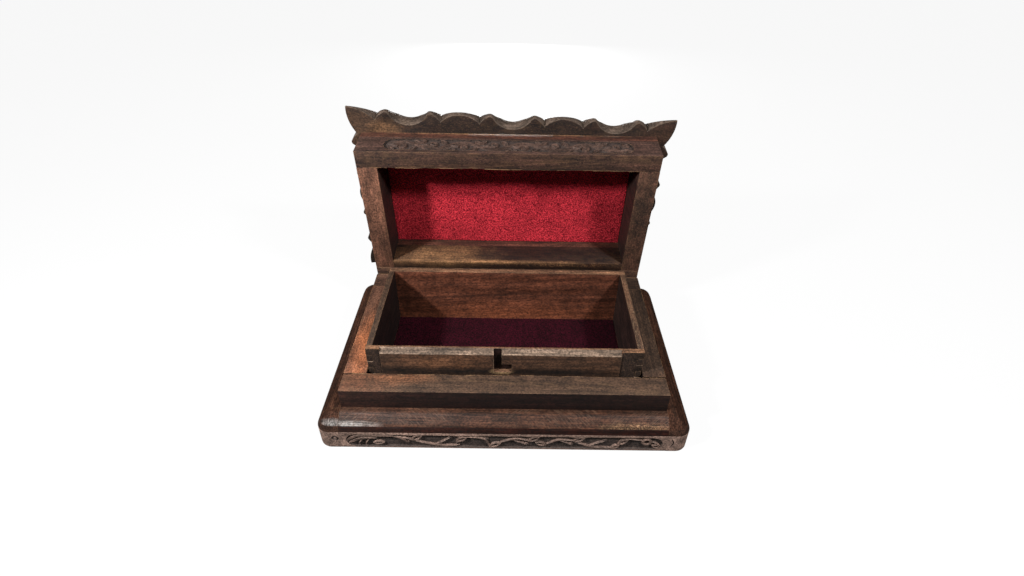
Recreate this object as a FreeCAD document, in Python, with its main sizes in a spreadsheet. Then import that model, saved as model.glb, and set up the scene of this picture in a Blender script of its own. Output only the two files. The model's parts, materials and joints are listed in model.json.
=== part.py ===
import FreeCAD, Part
import math
import os
import re

# A carved hardwood keepsake box: a walled case on a moulded plinth, a thin liner that stands
# proud of the case, and a lid with a scalloped top plate, shown open on its two small butt hinges.
# Millimetres, origin at the middle of the plinth's foot, +Z up, front towards -Y.

DIMENSIONS = {
    # plinth moulding round the foot
    "plinth_width": 207.0,
    "plinth_depth": 122.0,
    "plinth_height": 20.5,
    "plinth_corner": 7.8,
    "plinth_slope_run": 7.4,
    "plinth_slope_drop": 5.7,
    "plinth_nose": 2.1,
    "corner_block_depth": 10.0,
    # shallow fields that take the carving
    "carving_depth": 1.2,
    "front_field_left": 87.0,
    "front_field_right": 88.0,
    "side_field_half": 48.0,
    "plinth_field_low": 0.9,
    "plinth_field_high": 11.4,
    # case
    "case_width": 181.0,
    "case_depth": 100.0,
    "case_height": 33.4,
    "case_wall": 12.6,
    "bottom_thick": 5.0,
    # liner and tray floor
    "liner_width": 154.2,
    "liner_front": 35.1,
    "liner_back": 36.9,
    "liner_top": 49.6,
    "liner_wall": 3.4,
    "liner_front_wall": 3.6,
    "floor_thick": 4.2,
    "velvet_thick": 0.7,
    "finger_count": 9,
    "end_setback": 0.6,
    "end_left": 69.4,
    "end_right": 64.6,
    "bevel_depth": 2.5,
    "bevel_height": 3.0,
    # notch in the liner's front wall
    "notch_left": 6.4,
    "notch_width": 4.5,
    "notch_foot": 10.2,
    "notch_foot_top": 39.6,
    "notch_floor": 33.2,
    "notch_depth": 2.4,
    # lid, measured from the hinge line
    "lid_open": 84.0,
    "hinge_y": 50.05,
    "hinge_z": 33.55,
    "lid_width": 180.2,
    "lid_back": 0.05,
    "lid_front": 99.8,
    "lid_rim": 0.15,
    "lid_wall_top": 22.2,
    "lid_side_wall": 12.2,
    "lid_front_wall": 11.4,
    "lid_back_wall": 6.3,
    "lid_back_strip": 6.4,
    "lid_field_half": 74.0,
    "lid_field_low": 2.4,
    "lid_field_high": 14.8,
    "lid_side_field_half": 34.0,
    # scalloped top plate
    "plate_thick": 10.3,
    "plate_skew": 1.7,
    "plate_bevel_set": 5.0,
    "plate_field_width": 148.0,
    "plate_field_depth": 62.0,
    "scallop_half": 19.6,
    "lobe_half": 11.8,
    "side_scallop_half": 17.5,
    "side_lobe_half": 10.4,
    "front_valley": 5.9,
    "front_crest": 11.2,
    "front_trough": 3.2,
    "front_crest_radius": 2.2,
    "front_hollow_radius": 13.3,
    "side_valley": 4.0,
    "side_crest": 8.4,
    "side_trough": 2.2,
    "side_crest_radius": 2.2,
    "side_hollow_radius": 12.0,
    "shoulder_bow": 0.07,
    "lobe_rise": 0.2,
    "corner_leaf_out": 13.9,
    "corner_leaf_side": 8.9,
    "corner_leaf_bow": 0.09,
    # hinges
    "hinge_place": 47.5,
    "leaf_length": 14.0,
    "leaf_width": 3.6,
    "leaf_thick": 0.8,
    "leaf_gap": 0.2,
    "barrel_radius": 0.9,
    "pin_radius": 0.5,
    "pin_clearance": 0.05,
    "knuckle_gap": 0.3,
    "screw_radius": 0.5,
    "screw_head": 0.9,
    "screw_length": 4.0,
    "screw_spread": 4.2,
    "screw_set": 2.0,
}

doc = FreeCAD.newDocument("carved_box")
sheet = doc.addObject("Spreadsheet::Sheet", "Dimensions")
for row, (alias, value) in enumerate(DIMENSIONS.items(), start=1):
    cell = "A%d" % row
    sheet.set(cell, str(value))
    sheet.setAlias(cell, alias)
doc.recompute()

FUNCTIONS = ("sin", "cos")
X_AXIS = FreeCAD.Vector(1, 0, 0)
Y_AXIS = FreeCAD.Vector(0, 1, 0)
Z_AXIS = FreeCAD.Vector(0, 0, 1)
pieces = []


def value_of(alias):
    return float(sheet.get(alias))


def on_sheet(text):
    """Write a formula over the sheet's aliases as an expression of the document."""
    def cell_name(match):
        word = match.group(0)
        return word if word in FUNCTIONS else "Dimensions." + word
    return re.sub(r"[a-z][a-z_]+", cell_name, text)


def bind(thing, **formulas):
    for name, text in formulas.items():
        thing.setExpression(name, on_sheet(text))


def place(thing, x, y, z, on_lid=False):
    """Put a solid's corner at x, y, z. On the lid these run from the hinge line, with the lid shut."""
    if on_lid:
        turned_y = "hinge_y + (%s) * cos(lid_open) + (%s) * sin(lid_open)" % (y, z)
        turned_z = "hinge_z - (%s) * sin(lid_open) + (%s) * cos(lid_open)" % (y, z)
        y = turned_y
        z = turned_z
        opening = FreeCAD.Rotation(X_AXIS, -value_of("lid_open"))
        thing.Placement = FreeCAD.Placement(FreeCAD.Vector(), opening.multiply(thing.Placement.Rotation))
    thing.setExpression("Placement.Base.x", on_sheet(x))
    thing.setExpression("Placement.Base.y", on_sheet(y))
    thing.setExpression("Placement.Base.z", on_sheet(z))


def board(name, low, high, on_lid=False):
    """A squared board between two opposite corners, given as formulas."""
    box = doc.addObject("Part::Box", name)
    spans = ["(%s) - (%s)" % (top, bottom) for bottom, top in zip(low, high)]
    bind(box, Length=spans[0], Width=spans[1], Height=spans[2])
    place(box, *low, on_lid=on_lid)
    return box


def rod(name, radius, length, start, along_x=False, on_lid=False):
    """A round bar that starts at a point and runs up, or along X."""
    bar = doc.addObject("Part::Cylinder", name)
    bind(bar, Radius=radius, Height=length)
    if along_x:
        bar.Placement = FreeCAD.Placement(FreeCAD.Vector(), FreeCAD.Rotation(Y_AXIS, 90))
    place(bar, *start, on_lid=on_lid)
    return bar


def cone(name, low_radius, high_radius, length, start, on_lid=False):
    bar = doc.addObject("Part::Cone", name)
    bind(bar, Radius1=low_radius, Radius2=high_radius, Height=length)
    place(bar, *start, on_lid=on_lid)
    return bar


def cut(name, base, tools):
    """Take one or more tools out of a base."""
    tool = tools[0]
    if len(tools) > 1:
        tool = doc.addObject("Part::MultiFuse", name + "_tools")
        tool.Shapes = tools
    result = doc.addObject("Part::Cut", name)
    result.Base = base
    result.Tool = tool
    return result


def fuse(name, solids):
    result = doc.addObject("Part::MultiFuse", name)
    result.Shapes = solids
    return result


def group(name, solids):
    result = doc.addObject("Part::Compound", name)
    result.Links = solids
    return result


def keep(label, thing):
    """Name a finished sub-part and list it for export."""
    thing.Label = label
    pieces.append(thing)
    return thing


def origin_plane(body, role):
    return next(item for item in body.Origin.OriginFeatures if item.Role == role)


def new_sketch(body, name):
    sketch = body.newObject("Sketcher::SketchObject", name)
    sketch.AttachmentSupport = [(origin_plane(body, "XY_Plane"), "")]
    sketch.MapMode = "FlatFace"
    return sketch


def padded_body(name, curves, height):
    """A body padded upwards from a closed outline on its own XY plane."""
    body = doc.addObject("PartDesign::Body", name)
    sketch = new_sketch(body, name + "_outline")
    for curve in curves:
        sketch.addGeometry(curve, False)
    pad = body.newObject("PartDesign::Pad", name + "_pad")
    pad.Profile = sketch
    bind(pad, Length=height)
    doc.recompute()
    return body


def edges_of(feature, wanted):
    """Names of a feature's edges that pass a test."""
    return ["Edge%d" % (i + 1) for i, edge in enumerate(feature.Shape.Edges) if wanted(edge)]


def sloped(body, name, feature, wanted, run, drop):
    """Bevel the edges that pass a test, by one distance along the top and one down the side."""
    chamfer = body.newObject("PartDesign::Chamfer", name)
    chamfer.Base = (feature, edges_of(feature, wanted))
    chamfer.ChamferType = "Two distances"
    chamfer.FlipDirection = True
    bind(chamfer, Size=run, Size2=drop)
    doc.recompute()
    return chamfer


def arc(start, middle, end):
    """An arc through three points of the plane, always drawn anticlockwise."""
    turn = (middle[0] - start[0]) * (end[1] - middle[1]) - (middle[1] - start[1]) * (end[0] - middle[0])
    ends = (start, end) if turn > 0 else (end, start)
    return Part.Arc(FreeCAD.Vector(*ends[0], 0), FreeCAD.Vector(*middle, 0), FreeCAD.Vector(*ends[1], 0))


# Plinth: one ring with a sloped top and an eased nose, sawn into its separate mouldings
def plinth_blank():
    half_x = value_of("plinth_width") / 2
    half_y = value_of("plinth_depth") / 2
    radius = value_of("plinth_corner")
    corners = ((1, -1, -90), (1, 1, 0), (-1, 1, 90), (-1, -1, 180))
    rounds = []
    for side_x, side_y, turn in corners:
        middle = (side_x * (half_x - radius), side_y * (half_y - radius))
        angles = [math.radians(turn + step) for step in (0, 45, 90)]
        rounds.append([(middle[0] + radius * math.cos(angle), middle[1] + radius * math.sin(angle))
                       for angle in angles])
    outline = []
    for i, points in enumerate(rounds):
        following = rounds[(i + 1) % len(rounds)]
        outline.append(arc(*points))
        outline.append(Part.LineSegment(FreeCAD.Vector(*points[2], 0), FreeCAD.Vector(*following[0], 0)))
    body = padded_body("plinth_blank", outline, "plinth_height")
    top = value_of("plinth_height")
    nose = top - value_of("plinth_slope_drop")
    near = 0.01

    def at_top(edge):
        return edge.BoundBox.ZMin > top - near

    def at_nose(edge):
        return edge.BoundBox.ZLength < near and abs(edge.BoundBox.ZMin - nose) < near

    slope = sloped(body, "plinth_slope", body.Tip, at_top, "plinth_slope_run", "plinth_slope_drop")
    sloped(body, "plinth_nose", slope, at_nose, "plinth_nose", "plinth_nose")
    return body


def make_plinth():
    core = board("plinth_core", ("-case_width / 2", "-case_depth / 2", "-plinth_height"),
                 ("case_width / 2", "case_depth / 2", "2 * plinth_height"))
    front_field = board("plinth_front_field", ("-front_field_left", "-plinth_depth", "plinth_field_low"),
                        ("front_field_right", "-plinth_depth / 2 + carving_depth", "plinth_field_high"))
    left_field = board("plinth_left_field", ("-plinth_width", "-side_field_half", "plinth_field_low"),
                       ("-plinth_width / 2 + carving_depth", "side_field_half", "plinth_field_high"))
    right_field = board("plinth_right_field",
                        ("plinth_width / 2 - carving_depth", "-side_field_half", "plinth_field_low"),
                        ("plinth_width", "side_field_half", "plinth_field_high"))
    ring = cut("plinth_ring", plinth_blank(), [core, front_field, left_field, right_field])
    left = "-case_width / 2"
    right = "case_width / 2"
    block_end = "-plinth_depth / 2 + corner_block_depth"
    regions = {
        "plinth_front_moulding": ((left, "-plinth_depth"), (right, "-case_depth / 2")),
        "plinth_back_moulding": ((left, "case_depth / 2"), (right, "plinth_depth")),
        "plinth_left_moulding": (("-plinth_width", block_end), (left, "plinth_depth")),
        "plinth_corner_block": (("-plinth_width", "-plinth_depth"), (left, block_end)),
        "plinth_right_moulding": ((right, "-plinth_depth"), ("plinth_width", "plinth_depth")),
    }
    for label, (low, high) in regions.items():
        region = board(label + "_region", (*low, "-plinth_height"), (*high, "2 * plinth_height"))
        moulding = doc.addObject("Part::Common", label)
        moulding.Base = ring
        moulding.Tool = region
        keep(label, moulding)


# Hinges: a leaf let into each rim, a split barrel on the hinge line, a loose pin and small screws
def hinge_sides():
    return (("left", "-hinge_place"), ("right", "hinge_place"))


def screw_places(middle):
    return ["%s - screw_spread" % middle, "%s + screw_spread" % middle]


def hinge_bed(name, middle, on_lid):
    """The bed for one hinge, cut into the rim: shallow for the leaf and hollow for the barrel."""
    left = "%s - leaf_length / 2 - leaf_gap" % middle
    right = "%s + leaf_length / 2 + leaf_gap" % middle
    if on_lid:
        low = (left, "-lid_back - leaf_width - leaf_gap", "-lid_rim")
        high = (right, "lid_back", "lid_rim + leaf_thick")
    else:
        low = (left, "case_depth / 2 - leaf_width - leaf_gap", "case_height - leaf_thick")
        high = (right, "case_depth", "2 * case_height")
    hollow = rod(name + "_hollow", "barrel_radius + leaf_gap", "leaf_length + 2 * leaf_gap",
                 (left, "hinge_y", "hinge_z"), along_x=True)
    return [board(name, low, high, on_lid=on_lid), hollow]


def pilot_holes(name, middle, on_lid):
    """Screw holes under one leaf."""
    holes = []
    for i, x in enumerate(screw_places(middle)):
        start = (x, "hinge_y - lid_back - screw_set", "case_height - leaf_thick - screw_length")
        if on_lid:
            start = (x, "-lid_back - screw_set", "lid_rim + leaf_thick - screw_radius")
        length = "screw_length + screw_radius"
        holes.append(rod("%s_%d" % (name, i), "screw_radius + pin_clearance", length, start, on_lid=on_lid))
    return holes


def make_screws(label, on_lid):
    """Countersunk screws, two in each leaf, as one group."""
    screws = []
    for side, middle in hinge_sides():
        for i, x in enumerate(screw_places(middle)):
            name = "%s_%s_%d" % (label, side, i)
            if on_lid:
                y = "-lid_back - screw_set"
                head = cone(name + "_head", "screw_head", "screw_radius", "leaf_thick",
                            (x, y, "lid_rim"), on_lid=True)
                shank = rod(name + "_shank", "screw_radius", "screw_length",
                            (x, y, "lid_rim + leaf_thick - screw_radius"), on_lid=True)
            else:
                y = "hinge_y - lid_back - screw_set"
                head = cone(name + "_head", "screw_radius", "screw_head", "leaf_thick",
                            (x, y, "case_height - leaf_thick"))
                shank = rod(name + "_shank", "screw_radius", "screw_length",
                            (x, y, "case_height - leaf_thick - screw_length + screw_radius"))
            screws.append(fuse(name, [head, shank]))
    keep(label, group(label, screws))


def make_leaf(label, middle, on_lid):
    """One leaf with its share of the barrel: two outer knuckles on the case, one on the lid."""
    left = "%s - leaf_length / 2" % middle
    right = "%s + leaf_length / 2" % middle
    third = "leaf_length / 3"
    if on_lid:
        knuckles = [("%s + %s + knuckle_gap / 2" % (left, third), "%s - knuckle_gap" % third)]
        barrel_y = "0"
        far_y = "-lid_back - leaf_width"
        screw_y = "-lid_back - screw_set"
        low_z = "lid_rim"
        sink_radii = ("screw_head + pin_clearance", "screw_radius + pin_clearance")
    else:
        knuckles = [(left, "%s - knuckle_gap / 2" % third),
                    ("%s - %s + knuckle_gap / 2" % (right, third), "%s - knuckle_gap / 2" % third)]
        barrel_y = "hinge_y"
        far_y = "case_depth / 2 - leaf_width"
        screw_y = "hinge_y - lid_back - screw_set"
        low_z = "case_height - leaf_thick"
        sink_radii = ("screw_radius + pin_clearance", "screw_head + pin_clearance")
    near_y = barrel_y + " - barrel_radius - leaf_gap"
    high_z = low_z + " + leaf_thick"
    solids = [board(label + "_plate", (left, far_y, low_z), (right, near_y, high_z), on_lid=on_lid)]
    for i, (start, length) in enumerate(knuckles):
        solids.append(board("%s_tab_%d" % (label, i), (start, near_y, low_z),
                            ("%s + %s" % (start, length), barrel_y, high_z), on_lid=on_lid))
        solids.append(rod("%s_knuckle_%d" % (label, i), "barrel_radius", length,
                          (start, "hinge_y", "hinge_z"), along_x=True))
    holes = [rod(label + "_bore", "pin_radius + pin_clearance", "2 * leaf_length",
                 ("%s - leaf_length" % middle, "hinge_y", "hinge_z"), along_x=True)]
    for i, x in enumerate(screw_places(middle)):
        holes.append(cone("%s_sink_%d" % (label, i), *sink_radii, "leaf_thick",
                          (x, screw_y, low_z), on_lid=on_lid))
    keep(label, cut(label, fuse(label + "_solid", solids), holes))


def make_hinges():
    for side, middle in hinge_sides():
        make_leaf("hinge_%s_case_leaf" % side, middle, on_lid=False)
        make_leaf("hinge_%s_lid_leaf" % side, middle, on_lid=True)
        start = ("%s - leaf_length / 2" % middle, "hinge_y", "hinge_z")
        pin = rod("hinge_%s_pin" % side, "pin_radius", "leaf_length", start, along_x=True)
        keep("hinge_%s_pin" % side, pin)
    make_screws("hinge_case_screws", on_lid=False)
    make_screws("hinge_lid_screws", on_lid=True)


# Case: front and back run the full width, the sides and the bottom board stand between them
def make_case():
    front = board("case_front_wall", ("-case_width / 2", "-case_depth / 2", "0"),
                  ("case_width / 2", "-case_depth / 2 + case_wall", "case_height"))
    keep("case_front_wall", front)
    back = board("case_back_board", ("-case_width / 2", "case_depth / 2 - case_wall", "0"),
                 ("case_width / 2", "case_depth / 2", "case_height"))
    beds = []
    for side, middle in hinge_sides():
        beds.extend(hinge_bed("case_bed_" + side, middle, on_lid=False))
        beds.extend(pilot_holes("case_pilot_" + side, middle, on_lid=False))
    keep("case_back_wall", cut("case_back_wall", back, beds))
    for label, low_x, high_x in (("case_left_wall", "-case_width / 2", "-case_width / 2 + case_wall"),
                                 ("case_right_wall", "case_width / 2 - case_wall", "case_width / 2")):
        keep(label, board(label, (low_x, "-case_depth / 2 + case_wall", "0"),
                          (high_x, "case_depth / 2 - case_wall", "case_height")))
    bottom = board("bottom_board", ("-case_width / 2 + case_wall", "-case_depth / 2 + case_wall", "0"),
                   ("case_width / 2 - case_wall", "case_depth / 2 - case_wall", "bottom_thick"))
    keep("bottom_board", bottom)


# Liner: thin finger-jointed walls that stand on the bottom board and rise above the case
def finger_boxes(name, low_x, high_x, low_y, high_y):
    """The side wall's fingers at one corner, every second step of the wall's height."""
    count = int(value_of("finger_count"))
    step = "(liner_top - bottom_thick) / finger_count"
    boxes = []
    for i in range(1, count, 2):
        bottom = "bottom_thick + %d * %s" % (i, step)
        boxes.append(board("%s_%d" % (name, i), (low_x, low_y, bottom),
                           (high_x, high_y, "%s + %s" % (bottom, step))))
    return boxes


def make_liner():
    foot = "bottom_thick"
    outer_left = "-liner_width / 2"
    outer_right = "liner_width / 2"
    inner_front = "-liner_front + liner_front_wall"
    inner_back = "liner_back - liner_wall"
    end_face = "-liner_front + end_setback"
    sockets_front = []
    sockets_back = []
    for side, low_x, high_x in (("left", outer_left, "-liner_width / 2 + liner_wall"),
                                ("right", "liner_width / 2 - liner_wall", outer_right)):
        front_fingers = finger_boxes("liner_%s_front_finger" % side, low_x, high_x, end_face, inner_front)
        back_fingers = finger_boxes("liner_%s_back_finger" % side, low_x, high_x, inner_back, "liner_back")
        wall = board("liner_%s_board" % side, (low_x, inner_front, foot), (high_x, inner_back, "liner_top"))
        label = "liner_%s_wall" % side
        keep(label, fuse(label, [wall] + front_fingers + back_fingers))
        sockets_front.extend(front_fingers)
        sockets_back.extend(back_fingers)
    back = board("liner_back_board", (outer_left, inner_back, foot),
                 (outer_right, "liner_back", "liner_top"))
    keep("liner_back_wall", cut("liner_back_wall", back, sockets_back))
    front = board("liner_front_board", (outer_left, "-liner_front", foot),
                  (outer_right, inner_front, "liner_top"))
    before = "-liner_front - liner_front_wall"
    above = "liner_top + liner_wall"
    slot_back = "-liner_front + notch_depth"
    tools = sockets_front + [
        liner_bevel(),
        board("liner_left_end", ("-liner_width", before, "0"), ("-end_left", end_face, above)),
        board("liner_right_end", ("end_right", before, "0"), ("liner_width", end_face, above)),
        board("liner_notch_slot", ("-notch_left", before, "notch_floor"),
              ("-notch_left + notch_width", slot_back, above)),
        board("liner_notch_foot", ("-notch_left", before, "notch_floor"),
              ("-notch_left + notch_foot", slot_back, "notch_foot_top")),
    ]
    keep("liner_front_wall", cut("liner_front_wall", front, tools))
    inner_left = "-liner_width / 2 + liner_wall"
    inner_right = "liner_width / 2 - liner_wall"
    floor_top = "bottom_thick + floor_thick"
    keep("tray_floor_board", board("tray_floor_board", (inner_left, inner_front, foot),
                                   (inner_right, inner_back, floor_top)))
    keep("tray_velvet", board("tray_velvet", (inner_left, inner_front, floor_top),
                              (inner_right, inner_back, floor_top + " + velvet_thick")))


def liner_bevel():
    """The stopped bevel along the liner's front edge, which lets the lid swing past."""
    wedge = doc.addObject("Part::Wedge", "liner_front_bevel")
    bind(wedge, Xmin="-end_left", Xmax="end_right", X2min="-end_left", X2max="end_right",
         Ymin="-liner_front", Ymax="-liner_front + bevel_depth",
         Zmin="liner_top - bevel_height", Zmax="liner_top + bevel_height",
         Z2min="liner_top", Z2max="liner_top + bevel_height")
    return wedge


# Lid: four walls and an inner strip under the top plate, drawn shut and swung open by their placements
def make_lid_walls():
    half = "lid_width / 2"
    rim = "lid_rim"
    top = "lid_wall_top"
    inner_front = "-lid_front + lid_front_wall"
    inner_back = "-lid_back - lid_back_wall"
    front = board("lid_front_board", ("-lid_width / 2", "-lid_front", rim),
                  (half, inner_front, top), on_lid=True)
    front_field = board("lid_front_field", ("-lid_field_half", "-2 * lid_front", "lid_field_low"),
                        ("lid_field_half", "-lid_front + carving_depth", "lid_field_high"), on_lid=True)
    keep("lid_front_wall", cut("lid_front_wall", front, [front_field]))
    back = board("lid_back_board", ("-lid_width / 2", inner_back, rim),
                 (half, "-lid_back", top), on_lid=True)
    beds = []
    for side, middle in hinge_sides():
        beds.extend(hinge_bed("lid_bed_" + side, middle, on_lid=True))
        beds.extend(pilot_holes("lid_pilot_" + side, middle, on_lid=True))
    keep("lid_back_wall", cut("lid_back_wall", back, beds))
    strip_front = inner_back + " - lid_back_strip"
    strip = board("lid_back_strip", ("-lid_width / 2 + lid_side_wall", strip_front, rim),
                  ("lid_width / 2 - lid_side_wall", inner_back, top), on_lid=True)
    keep("lid_back_strip", strip)
    middle = "(-lid_front - lid_back) / 2"
    for label, low_x, high_x, field_low, field_high in (
            ("lid_left_wall", "-lid_width / 2", "-lid_width / 2 + lid_side_wall",
             "-lid_width", "-lid_width / 2 + carving_depth"),
            ("lid_right_wall", "lid_width / 2 - lid_side_wall", "lid_width / 2",
             "lid_width / 2 - carving_depth", "lid_width")):
        wall = board(label + "_board", (low_x, inner_front, rim), (high_x, inner_back, top), on_lid=True)
        field = board(label + "_field", (field_low, middle + " - lid_side_field_half", "lid_field_low"),
                      (field_high, middle + " + lid_side_field_half", "lid_field_high"), on_lid=True)
        keep(label, cut(label, wall, [field]))
    velvet = board("lid_velvet", ("-lid_width / 2 + lid_side_wall", inner_front, top + " - velvet_thick"),
                   ("lid_width / 2 - lid_side_wall", strip_front, top), on_lid=True)
    keep("lid_velvet", velvet)


# Top plate: scallops and lobes along each edge, with a pointed leaf at each corner
def round_point(top_at, top, radius, angle):
    """A point on a circle, an angle on from its top."""
    return (top_at + radius * math.sin(angle), top - radius * (1 - math.cos(angle)))


def bowed(start, end, bow):
    """The middle of a run, swelled to its left by a share of its length."""
    along = (end[0] - start[0], end[1] - start[1])
    return ((start[0] + end[0]) / 2 - bow * along[1], (start[1] + end[1]) / 2 + bow * along[0])


def scallop(middle, half, prefix):
    """One hollow between two crests, as arcs in (along, outward) from valley to valley."""
    valley = value_of(prefix + "_valley")
    crest = value_of(prefix + "_crest")
    trough = value_of(prefix + "_trough")
    crest_radius = value_of(prefix + "_crest_radius")
    reach = crest_radius + value_of(prefix + "_hollow_radius")
    turn = math.acos(1 - (crest - trough) / reach)
    crest_at = reach * math.sin(turn)
    run = half - crest_at
    fall = crest - crest_radius - valley
    meeting = math.acos(crest_radius / math.hypot(run, fall)) - math.pi + math.atan2(run, fall)
    foot = (-half, valley)
    shoulder = round_point(-crest_at, crest, crest_radius, meeting)
    half_arcs = [
        (foot, bowed(foot, shoulder, value_of("shoulder_bow")), shoulder),
        (shoulder,
         round_point(-crest_at, crest, crest_radius, (meeting + turn) / 2),
         round_point(-crest_at, crest, crest_radius, turn)),
    ]
    bend = half_arcs[-1][2]
    hollow = [(bend, (0, trough), (-bend[0], bend[1]))]
    mirrored = [tuple((-x, out) for x, out in reversed(points)) for points in reversed(half_arcs)]
    return [tuple((middle + x, out) for x, out in points) for points in half_arcs + hollow + mirrored]


def lobe(middle, half, prefix):
    valley = value_of(prefix + "_valley")
    top = value_of(prefix + "_crest") + value_of("lobe_rise")
    return [((middle - half, valley), (middle, top), (middle + half, valley))]


def front_edge():
    """Three hollows with a full lobe between each pair."""
    hollow = value_of("scallop_half")
    swell = value_of("lobe_half")
    step = 2 * (hollow + swell)
    run = []
    for i in (-1, 0, 1):
        run.extend(scallop(i * step, hollow, "front"))
        if i < 1:
            run.extend(lobe((i + 0.5) * step, swell, "front"))
    return run


def side_edge():
    """Two hollows with a full lobe between them."""
    hollow = value_of("side_scallop_half")
    swell = value_of("side_lobe_half")
    step = hollow + swell
    return scallop(-step, hollow, "side") + lobe(0, swell, "side") + scallop(step, hollow, "side")


def plate_outline():
    """The four edges and corner leaves about the plate's own middle."""
    half_x = value_of("lid_width") / 2
    half_y = (value_of("lid_front") - value_of("lid_back")) / 2
    tip = (half_x + value_of("corner_leaf_side"), half_y + value_of("corner_leaf_out"))
    edges = (
        (front_edge(), half_y, 0),
        (side_edge(), half_x, 90),
        (front_edge(), half_y, 180),
        (side_edge(), half_x, 270),
    )
    tips = ((tip[0], -tip[1]), (tip[0], tip[1]), (-tip[0], tip[1]), (-tip[0], -tip[1]))
    curves = []
    ends = []
    for run, reach, turn in edges:
        angle = math.radians(turn)

        def on_plate(point):
            along = point[0]
            out = -reach - point[1]
            return (along * math.cos(angle) - out * math.sin(angle),
                    along * math.sin(angle) + out * math.cos(angle))

        for start, middle, end in run:
            curves.append(arc(on_plate(start), on_plate(middle), on_plate(end)))
        ends.append((on_plate(run[0][0]), on_plate(run[-1][2])))
    for i, leaf_tip in enumerate(tips):
        before = ends[i][1]
        after = ends[(i + 1) % len(ends)][0]
        bow = value_of("corner_leaf_bow")
        curves.append(arc(before, bowed(before, leaf_tip, -bow), leaf_tip))
        curves.append(arc(after, bowed(after, leaf_tip, bow), leaf_tip))
    return curves


def plate_bevel():
    """The space under the plate's bevelled top: four slopes at 45 degrees, down to the plate's foot."""
    wedge = doc.addObject("Part::Wedge", "plate_bevel")
    half_x = "lid_width / 2 + plate_bevel_set"
    half_y = "(lid_front - lid_back) / 2 + plate_bevel_set"
    bind(wedge, Ymin="0", Ymax="plate_thick",
         Xmin="-(%s) - plate_thick" % half_x, Xmax="%s + plate_thick" % half_x,
         Zmin="-(%s) - plate_thick" % half_y, Zmax="%s + plate_thick" % half_y,
         X2min="-(%s)" % half_x, X2max=half_x, Z2min="-(%s)" % half_y, Z2max=half_y)
    return wedge


def make_plate():
    """The outline's board under its bevels, with a shallow field sunk in its top."""
    blank = padded_body("plate_blank", plate_outline(), "plate_thick")
    bevel = plate_bevel()
    field = doc.addObject("Part::Box", "plate_field")
    bind(field, Length="plate_field_width", Width="plate_field_depth", Height="2 * carving_depth")
    field_corner = FreeCAD.Vector(-value_of("plate_field_width") / 2, -value_of("plate_field_depth") / 2,
                                  value_of("plate_thick") - value_of("carving_depth"))
    middle_y = -(value_of("lid_front") + value_of("lid_back")) / 2
    hinge = FreeCAD.Vector(0, value_of("hinge_y"), value_of("hinge_z"))
    opened = FreeCAD.Placement(hinge, FreeCAD.Rotation(X_AXIS, -value_of("lid_open")))
    on_walls = opened.multiply(FreeCAD.Placement(FreeCAD.Vector(0, middle_y, value_of("lid_wall_top")),
                                                 FreeCAD.Rotation(Z_AXIS, value_of("plate_skew"))))
    blank.Placement = on_walls
    bevel.Placement = on_walls.multiply(FreeCAD.Placement(FreeCAD.Vector(), FreeCAD.Rotation(X_AXIS, 90)))
    field.Placement = on_walls.multiply(FreeCAD.Placement(field_corner, FreeCAD.Rotation()))
    board_top = doc.addObject("Part::Common", "plate_board")
    board_top.Base = blank
    board_top.Tool = bevel
    keep("lid_top_plate", cut("lid_top_plate", board_top, [field]))


make_plinth()
make_case()
make_liner()
make_lid_walls()
make_plate()
make_hinges()
doc.recompute()

failed = [thing.Name for thing in doc.Objects if {"Invalid", "Error"} & set(thing.State)]
if failed:
    raise RuntimeError("objects failed: " + ", ".join(failed))
for piece in pieces:
    if piece.Shape.isNull() or not piece.Shape.isValid():
        raise RuntimeError("bad shape: " + piece.Label)

os.makedirs("parts", exist_ok=True)
for piece in pieces:
    piece.Shape.exportStep("parts/%s.step" % piece.Label)
    print(piece.Label, round(piece.Shape.Volume, 1), len(piece.Shape.Solids))
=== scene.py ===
import bpy
import json
import math
from mathutils import Matrix, Vector, noise as hills


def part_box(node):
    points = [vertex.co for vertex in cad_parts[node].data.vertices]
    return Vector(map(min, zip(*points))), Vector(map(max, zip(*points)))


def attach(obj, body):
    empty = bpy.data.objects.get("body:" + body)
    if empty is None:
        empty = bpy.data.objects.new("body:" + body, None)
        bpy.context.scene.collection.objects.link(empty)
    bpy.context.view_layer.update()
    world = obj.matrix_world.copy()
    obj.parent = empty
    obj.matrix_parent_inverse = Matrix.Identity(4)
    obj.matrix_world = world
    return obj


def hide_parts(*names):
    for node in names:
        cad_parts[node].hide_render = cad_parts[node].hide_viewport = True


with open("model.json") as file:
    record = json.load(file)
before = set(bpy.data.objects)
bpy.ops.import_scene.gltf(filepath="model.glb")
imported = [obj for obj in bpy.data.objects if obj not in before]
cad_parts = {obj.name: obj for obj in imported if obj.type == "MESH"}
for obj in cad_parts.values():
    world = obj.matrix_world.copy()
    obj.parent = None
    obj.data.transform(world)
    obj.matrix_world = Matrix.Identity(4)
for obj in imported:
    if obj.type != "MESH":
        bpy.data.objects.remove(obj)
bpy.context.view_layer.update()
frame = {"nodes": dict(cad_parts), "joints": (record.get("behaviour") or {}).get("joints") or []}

# A carved rosewood keepsake box, open. Metres, in the model's own frame, front towards -Y.
MM = 0.001
nodes = frame["nodes"]
scene = bpy.context.scene

# The lid's hinge line, and how far it stands open
hinge = frame["joints"][0]
HINGE = Vector(hinge["pos_m"])
OPENING = math.radians(hinge["range_deg"][1])
LID = Matrix.Translation(HINGE) @ Matrix.Rotation(-OPENING, 4, "X")
LID_TURN = LID.to_3x3()
SHUT = LID.inverted()

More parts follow.
